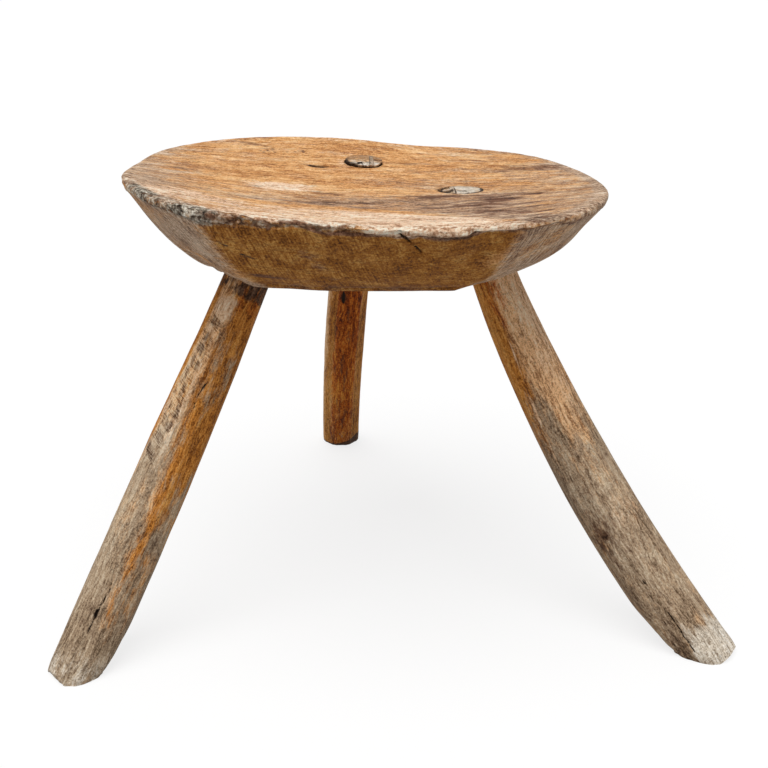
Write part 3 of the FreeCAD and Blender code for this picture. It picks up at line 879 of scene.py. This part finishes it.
def left_marks(zone):
    """Left leg: a pale, nicked outer flat beside golden brown inner ones, darker just under the seat and
    greyer towards the foot, where an orange streak runs down and red heartwood shows round a void. Painted
    light makes the outer flat paler near the seat."""
    share, angle, blotch, patch, fleck = zone.share, zone.angle, zone.blotch, zone.patch, zone.fleck
    inner = ease(122, 152, angle + 9 * blotch + 6 * patch) * ease(295, 225, angle)
    behind = ease(70, 140, np.abs(angle - 120))
    low = ease(0.34 - 0.3 * behind, 0.62 + 0.5 * behind, share + 0.1 * blotch)
    slid = angle + 52 * (share - 0.13) + 5 * patch
    strip = ease(0.05, 0.075, share) * ease(0.54, 0.46, share) * ease(83, 94, slid) * ease(152, 128, slid)
    beside = ease(92, 78, slid) * ease(-30, 30, slid)
    streak = zone.line((0.5, 170), (0.68, 156), 6.0) + zone.line((0.62, 160), (0.76, 147), 5.0)
    streak += zone.line((0.77, 151), (0.85, 150), 1.8)

    warm = inner * (0.95 - 0.55 * low) * (1 - 0.7 * strip) + 0.8 * beside * (1 - 0.7 * low)
    warm += 0.25 + 0.25 * blotch + 0.3 * bell(angle, 114, 7) * (1 - low) + streak * (0.6 + 0.6 * patch)
    ruddy = 0.8 * inner * ease(0.14, 0.05, share + 0.03 * patch)
    ruddy += 0.55 * zone.spot((0.86, 117), (0.02, 13)) + 0.45 * zone.spot((0.89, 139), (0.02, 9))
    grey = 0.1 * (1 - inner) + low * (0.84 - 0.22 * inner) + 0.3 * blotch + 0.2 * patch
    grey += inner * (0.08 + 0.3 * blotch + 0.4 * patch)
    grey += 0.24 * (strip - streak) + 0.25 * ease(0.8, 0.95, share)
    # Painted light: the nicked strip grows paler towards the seat, against the seat's shadow.
    pale = (0.4 + 0.3 * ease(0.2, 0.08, share)) * strip * (1.0 + 0.7 * patch - 0.6 * zone.nick)
    pale += 0.3 * (1 - low) * (bell(angle, 121, 4) + (1 - inner) * patch)
    silver = 0.5 * ease(0.9, 1.0, share + 0.03 * blotch) * (0.8 + 0.6 * patch)
    # Darker just under the seat.
    stain = ease(0.064, 0.044, share + 0.01 * patch + 0.006 * fleck) * (0.5 + 0.3 * inner + 0.5 * fleck)
    stain += 0.56 * zone.nick * (0.85 + 0.7 * patch)
    stain += (low - 0.7 * streak) * (0.18 + 0.3 * fleck + 0.2 * patch) * (1 - 0.6 * ease(0.85, 0.97, share))
    return dict(warm=warm, ruddy=ruddy * (0.6 + patch), grey=grey, pale=pale, silver=silver, stain=stain)


def right_marks(zone):
    """Right leg: brown under the bend and tan above it, made peach towards the top by painted light, with a
    dark red streak at the top, a burnt patch, a pale line along the arris, and a bleached tip."""
    share, angle, blotch, patch, fleck = zone.share, zone.angle, zone.blotch, zone.patch, zone.fleck
    under = ease(26, -16, angle + 9 * blotch + 7 * patch + 20 * share) * ease(-145, -75, angle)
    behind = ease(70, 140, np.abs(angle - 30))
    low = ease(0.22 - 0.2 * behind, 0.52 + 0.4 * behind, share + 0.08 * blotch)
    # Painted light: a peach patch brightens the upper right side of the leg, under the seat.
    painted_light_patch = zone.spot((0.13, 76), (0.2, 42))
    light = zone.spot((0.62, 68), (0.05, 26))
    burn = zone.spot((0.645 - 0.001 * (angle - 5), -3), (0.034, 23))

    warm = under * (0.95 - 0.5 * low) + 0.2 + 0.25 * blotch - 0.1 * painted_light_patch + 0.5 * burn
    ruddy = zone.line((-0.06, 6), (0.12, 8), 11) * (0.6 + patch)
    upper_grey = 0.12 + 0.4 * blotch + 0.3 * patch - 0.9 * painted_light_patch + 0.8 * low + 0.28 * bell(share, 0.38, 0.12)
    grey = (1 - under) * upper_grey + under * (0.7 * low + 0.2 * bell(share, 0.45, 0.15)) - 0.4 * burn
    pale = 0.7 * zone.line((0.14, 4), (0.5, -19), 1.1) * (0.7 + patch) + 0.5 * painted_light_patch + 0.3 * light
    pale += (1 - under) * (0.16 + 0.25 * patch)
    silver = 1.1 * ease(0.9, 0.99, share + 0.04 * patch) * ease(4, 26, angle + 8 * patch)
    stain = 0.6 * ruddy + burn * (0.3 + 0.3 * patch) - 0.3 * light - 0.5 * painted_light_patch
    stain += 0.4 * ease(0.88, 0.95, share) * ease(18, 10, angle) * ease(-25, -5, angle)
    stain += 0.25 * under * ease(0.9, 1.0, share) + 0.12 * under * low
    stain += (0.2 + 0.3 * fleck + 0.2 * patch) * low * ease(1.0, 0.9, share)
    return dict(warm=warm, ruddy=ruddy, grey=grey, pale=pale, silver=silver, stain=stain)


def rear_marks(zone):
    """Rear leg: orange-red brown with dark wavy streaks down its front, tan at the sides, with a few silvery
    flecks, and painted shade that blackens the worn corner at the foot."""
    share, angle, blotch, patch = zone.share, zone.angle, zone.blotch, zone.patch
    middle = ease(-138, -124, angle + 6 * patch) * ease(-50, -64, angle + 6 * patch)
    streaks = ease(0.1, 0.45, lumps(zone.grain, (26, 3.4, 3.4), 83))
    flecks = ease(0.3, 0.6, lumps(zone.grain, (7, 2, 2), 84, 2))
    # Painted shade: the foot's worn corner is painted black up to this height above the floor.
    shaded_until = 2.2 + 10 * np.clip((angle + 128) / 88, 0, 1.1) ** 1.6
    corner = ease(0.0, 1.2, shaded_until - zone.height) * (angle < 20)

    warm = 0.85 * (1 - middle) * ease(-190, -140, angle) * ease(70, -10, angle) + 0.5 * middle + 0.2 * blotch
    ruddy = middle * (0.95 - 0.3 * ease(0.6, 0.95, share)) + 0.2 * patch + 0.2 * ease(0.35, 0.1, share)
    grey = (0.2 * (1 - middle) + 0.3 * blotch) * ease(0.1, 0.4, share)
    silver = 0.9 * flecks * zone.spot((0.89, -94), (0.03, 12))
    stain = middle * streaks * (0.3 + 0.2 * ease(0.1, 0.4, share)) + 1.2 * corner
    return dict(warm=warm, ruddy=ruddy, grey=grey, pale=0 * share, silver=silver, stain=stain)


pole_wood = worn_wood(
    "pole",
    streak_size=(40, 3.6, 3.6),
    hair_size=(7, 1.3, 1.3),
    wrinkle_size=(6, 2.4, 2.4),
    speck_size=(1.4, 1.4, 1.4),
    score_size=(9, 1.2, 1.2),
    plain=tones((156, 110, 72), (246, 194, 142), (255, 226, 184)),
    warm=tones((116, 64, 18), (202, 130, 56), (238, 176, 96)),
    ruddy=tones((84, 28, 4), (192, 96, 28), (246, 168, 76)),
    grey=tones((100, 80, 60), (176, 150, 122), (214, 194, 166)),
    pale=tones((164, 122, 88), (240, 200, 160), (254, 234, 206)),
    silver=tones((156, 138, 118), (230, 216, 196), (253, 246, 234)),
    stain=tones((36, 22, 14), (94, 66, 48), (140, 112, 90)),
    dark=tones((14, 9, 6), (36, 25, 18), (80, 64, 52)),
)


def end_marks(leg, points):
    """How grey, pale and dark the tenon's worn end is. The right one is silvery, with painted shade in the
    hollow on its left, a painted shadow line along its front and painted shade round its edge. The rear one
    is brown, with pale chips in front whose pits are painted black as shade, and painted shade at its left
    edge and on its front wall."""
    x, y, _ = (to_top(points) - leg.seat_point).T
    reach = np.hypot(x, y) / (TENON_END_DIAMETER / 2)
    fleck = lumps(points, (6, 3.4, 3.4), 85, 2)
    if leg.name == "right":
        hollow = ease(-4.5, -6, x)
        pale = (0.85 - 0.5 * ease(4, 9, y) + 0.5 * fleck) * (1 - hollow) + 0.6 * hollow * bell(y, 4, 3)
        # Painted shade: dark in the hollow, along a shadow line in front and round the edge of the end.
        dark = 0.8 * hollow * bell(y, -4, 6) + 0.9 * bell(y, -7, 1.6) * ease(-4, -2.5, x) * ease(7, 3, x)
        return 0.5 + 0 * x, pale, dark + 0.8 * ease(0.93, 1.0, reach + 0.1 * fleck)
    chips = ease(-2, -7, y + 5 * fleck)
    # Painted shade: black in the pits among the chips, at the left edge and on the front wall.
    pit_shade = chips * ease(0.12, 0.4, lumps(points, (4, 3, 3), 87, 2))
    left_edge_shade = 0.7 * ease(0.78, 0.95, reach) * ease(-3, -8, x) * ease(7, 0, y)
    front_wall_shade = ease(-1.0, -2.0, leg.above_end(points)) * ease(4, -4, y)
    return 0.35 - 0.2 * chips, chips * (0.7 + 0.6 * fleck), pit_shade + left_edge_shade + front_wall_shade


for leg, marks_of in zip(LEGS, (left_marks, right_marks, rear_marks)):
    points, faces = leg_skin(leg, columns=180, pole_rows=420, tenon_rows=30, cap_rows=16)
    pole = solid(f"pole_{leg.name}", roughened_leg(leg, points), faces)
    cut_out(pole, [kerf(leg)])
    pole.data.materials.clear()
    pole.data.materials.append(pole_wood)
    where = places(pole)
    zone = LegZones(leg, where)
    grain, tool = zone.grain, zone.tool
    marks = dict(marks_of(zone), dark=zone.check, tooled=0 * zone.share, scored=zone.nick,
                 crumbled=0.4 * ease(0.93, 1.0, zone.share))
    end = (leg.above_end(where) > -0.6 - leg.proud) & (zone.share < -0.05)
    if leg.name == "left":
        # This tenon is worn into the dish, so its end has the seat's own finish.
        grain[end], tool[end], end_finish = seat_marks(where[end])
        middles = np.empty(3 * len(pole.data.polygons), np.float32)
        pole.data.polygons.foreach_get("center", middles)
        at_end = leg.above_end(middles.reshape(-1, 3).astype(float) * 1000) > -0.3
        pole.data.materials.append(board)
        pole.data.polygons.foreach_set("material_index", at_end.astype(np.int32))
    else:
        worn_grey, worn_pale, dark_and_shade = end_marks(leg, where[end])
        grain[end] = where[end]
        brown = 0.5 * (leg.name == "rear") * (1 - worn_pale)
        end_finish = dict(warm=brown, ruddy=0, grey=worn_grey, pale=0, silver=worn_pale,
                          stain=0.3 + 0.4 * brown, dark=dark_and_shade, crumbled=0.5)
    for name, values in end_finish.items():
        marks[name][end] = values
    marked(pole, grain, tool, marks)
    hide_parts(f"leg_{leg.name}")
    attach(pole, "root")

# Wedges: slips of split wood driven into the kerfs across the seat's grain. They spread the tenons tight,
# and their ends were cut off with the tenons' and have worn down with them. A dark line shows beside a slip.
SLIP_LINES = {"right": (1.3, 0.7, 0.9), "rear": (-1.4, 0.5, 0.6)}
slip_wood = worn_wood(
    "slip",
    streak_size=(20, 2.4, 2.4),
    hair_size=(5, 1.0, 1.0),
    wrinkle_size=(8, 3, 3),
    speck_size=(1.2, 1.2, 1.2),
    score_size=(9, 1.2, 1.2),
    plain=tones((104, 80, 60), (168, 138, 108), (206, 182, 152)),
    grey=tones((90, 80, 66), (152, 138, 116), (200, 186, 164)),
    pale=tones((160, 136, 116), (222, 200, 178), (250, 236, 216)),
    stain=tones((34, 24, 18), (72, 54, 44), (112, 92, 78)),
    dark=tones((14, 9, 6), (40, 30, 24), (90, 74, 62)),
)


def slip_skin(leg, face_rows, end_rows, columns):
    """The wedge's points and faces: its section, down one face, up the other and over its end, carried
    across the tenon. At every depth it is as long as the chord of the tenon's round that it lies on, and
    its depths are counted from the tenon's worn end, which six steps along the tenon find."""
    side, along = kerf_frame(leg)
    part = np.linspace(0, 1, face_rows)
    half = KERF_END_WIDTH / 2 + (KERF_ROOT_WIDTH - KERF_END_WIDTH) / 2 * part
    over = np.linspace(-1, 1, end_rows + 2)[1:-1]
    offset = np.concatenate([half, -half[::-1], half[0] * over])
    part = np.concatenate([part, part[::-1], 0 * over])
    up = 1 - part * KERF_DEPTH / np.linalg.norm(leg.head - leg.neck)
    chord = np.sqrt(leg.tenon_radius(up) ** 2 - (leg.kerf_offset + offset) ** 2) - 0.5
    run = np.linspace(1, -1, columns)
    base = leg.head + side * (leg.kerf_offset + offset)[:, None, None]
    base = base + along * (chord[:, None] * run)[..., None]
    level = np.zeros(base.shape[:2])
    for _ in range(6):
        level = level - leg.above_end(base + leg.way * level[..., None]) / (leg.way @ TOP_AXES[:, 2])
    points = base + leg.way * (level + (KERF_DEPTH - level) * part[:, None])[..., None]
    rings = np.arange(points.shape[0] * columns).reshape(-1, columns)
    closed = np.array(ring_faces(np.vstack([rings, rings[:1]]))).reshape(-1, columns, 4)
    faces = closed[:, :-1].reshape(-1, 4).tolist()
    return points.reshape(-1, 3), faces + [rings[::-1, 0].tolist(), rings[:, -1].tolist()]


for leg in LEGS:
    points, faces = slip_skin(leg, face_rows=24, end_rows=5, columns=48)
    slip = solid(f"slip_{leg.name}", points, faces)
    if leg.name == "left":
        marked(slip, *seat_marks(points))
        slip.data.materials.append(board)
    else:
        _, worn_pale, dark_and_shade = end_marks(leg, points)
        place, width, depth = SLIP_LINES[leg.name]
        line = depth * bell(points[:, 0] - leg.head[0] - leg.kerf_offset, place, width)
        dark_and_shade = np.maximum(dark_and_shade, line)
        grain = np.stack([points @ leg.way, points[:, 1], points[:, 0]], -1)
        marked(slip, grain, grain, dict(grey=0.3, pale=0.35 + 0.4 * worn_pale, dark=dark_and_shade, crumbled=0.4))
        slip.data.materials.append(slip_wood)
    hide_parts(f"wedge_{leg.name}")
    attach(slip, "root")

# Studio: a white floor without end under soft light from above, and the camera at the photograph's place.
# Seen straight, the floor is near white and still shows a faint shadow; it throws little light back up.
FLOOR_REACH = 2e4


def in_sight(start):
    """1 for a ray from the camera, a mirror or glass, which see the white background, and 0 for lighting."""
    kinds = ("Is Camera Ray", "Is Glossy Ray", "Is Transmission Ray")
    camera, mirror, glass = (start.node("ShaderNodeLightPath", {}, {}, kind) for kind in kinds)
    return camera + mirror + glass


corners = FLOOR_REACH * np.array([[-1, -1, 0], [1, -1, 0], [1, 1, 0], [-1, 1, 0]])
floor = solid("floor", corners, [(0, 1, 2, 3)])
paper = bpy.data.materials.new("white_paper")
paper.use_nodes = True
start = Socket(paper.node_tree)
dull = start.node("ShaderNodeBsdfDiffuse", {}, {"Color": (0.45, 0.45, 0.45, 1)})
clean = start.node("ShaderNodeBsdfDiffuse", {}, {"Color": (0.98, 0.98, 0.98, 1)})
bright = start.node("ShaderNodeEmission", {}, {"Color": (1, 1, 1, 1), "Strength": 1.0})
white = start.node("ShaderNodeMixShader", {}, {0: 0.78, 1: clean, 2: bright})
blend = start.node("ShaderNodeMixShader", {}, {0: in_sight(start), 1: dull, 2: white})
paper.node_tree.links.new(blend.output, paper.node_tree.nodes["Material Output"].inputs["Surface"])
paper.node_tree.nodes.remove(paper.node_tree.nodes["Principled BSDF"])
floor.data.materials.append(paper)

world = bpy.data.worlds.new("soft_sky")
world.use_nodes = True
start = Socket(world.node_tree)
glow = start.node("ShaderNodeBackground", {}, {"Color": (1, 1, 1, 1), "Strength": 0.4})
blank = start.node("ShaderNodeBackground", {}, {"Color": (1, 1, 1, 1), "Strength": 1.0})
blend = start.node("ShaderNodeMixShader", {}, {0: in_sight(start), 1: glow, 2: blank})
world.node_tree.links.new(blend.output, world.node_tree.nodes["World Output"].inputs["Surface"])
world.node_tree.nodes.remove(world.node_tree.nodes["Background"])
bpy.context.scene.world = world
lamp = bpy.data.lights.new("softbox", "SUN")
lamp.energy = 2.3
lamp.angle = np.radians(50)
softbox = bpy.data.objects.new("softbox", lamp)
softbox.rotation_euler = np.radians((20, -6, 0))
bpy.context.scene.collection.objects.link(softbox)

lens = bpy.data.cameras.new("camera")
lens.lens = 56.44
lens.sensor_width = 36.0
camera = bpy.data.objects.new("camera", lens)
camera.location = (-0.00913, -0.9624, 0.5224)
camera.rotation_euler = np.radians((68.9, 0, 0))
bpy.context.scene.collection.objects.link(camera)
bpy.context.scene.camera = camera
bpy.context.scene.view_settings.view_transform = "Standard"
